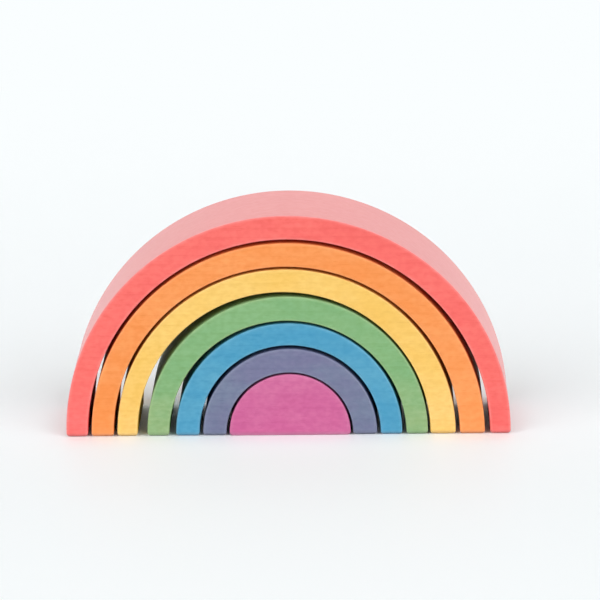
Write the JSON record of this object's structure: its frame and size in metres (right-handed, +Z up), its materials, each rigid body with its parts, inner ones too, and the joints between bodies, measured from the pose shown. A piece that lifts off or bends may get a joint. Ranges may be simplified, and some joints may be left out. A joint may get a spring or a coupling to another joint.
{
  "type": "rainbow stacker",
  "caption": "Nesting wooden rainbow: stained half-circle arches with sanded edges stand over a half-round block, and each lifts off for stacking and balancing play.",
  "frame": {"origin": "on the surface that the set stands on, under the middle of the outer arch", "axes": "+X along the width of the arches, +Y from the front faces to the back faces, +Z up"},
  "size_m": [0.16, 0.04, 0.0812],
  "materials": {
    "pink_wood": "matte",
    "indigo_wood": "matte",
    "blue_wood": "matte",
    "green_wood": "matte",
    "yellow_wood": "matte",
    "orange_wood": "matte",
    "red_wood": "matte"
  },
  "bodies": {
    "pink_half_round": {"pink_half_round": "pink_wood"},
    "indigo_arch": {"indigo_arch": "indigo_wood"},
    "blue_arch": {"blue_arch": "blue_wood"},
    "green_arch": {"green_arch": "green_wood"},
    "yellow_arch": {"yellow_arch": "yellow_wood"},
    "orange_arch": {"orange_arch": "orange_wood"},
    "red_arch": {"red_arch": "red_wood"}
  },
  "joints": [
    {"name": "indigo_lift", "type": "slide", "parent": "pink_half_round", "child": "indigo_arch", "axis": [0, 0, 1], "range_m": [0, 0.0277]},
    {"name": "blue_lift", "type": "slide", "parent": "indigo_arch", "child": "blue_arch", "axis": [0, 0, 1], "range_m": [0, 0.0371]},
    {"name": "green_lift", "type": "slide", "parent": "blue_arch", "child": "green_arch", "axis": [0, 0, 1], "range_m": [0, 0.0466]},
    {"name": "yellow_lift", "type": "slide", "parent": "green_arch", "child": "yellow_arch", "axis": [0, 0, 1], "range_m": [0, 0.0565]},
    {"name": "orange_lift", "type": "slide", "parent": "yellow_arch", "child": "orange_arch", "axis": [0, 0, 1], "range_m": [0, 0.0665]},
    {"name": "red_lift", "type": "slide", "parent": "orange_arch", "child": "red_arch", "axis": [0, 0, 1], "range_m": [0, 0.0761]}
  ]
}
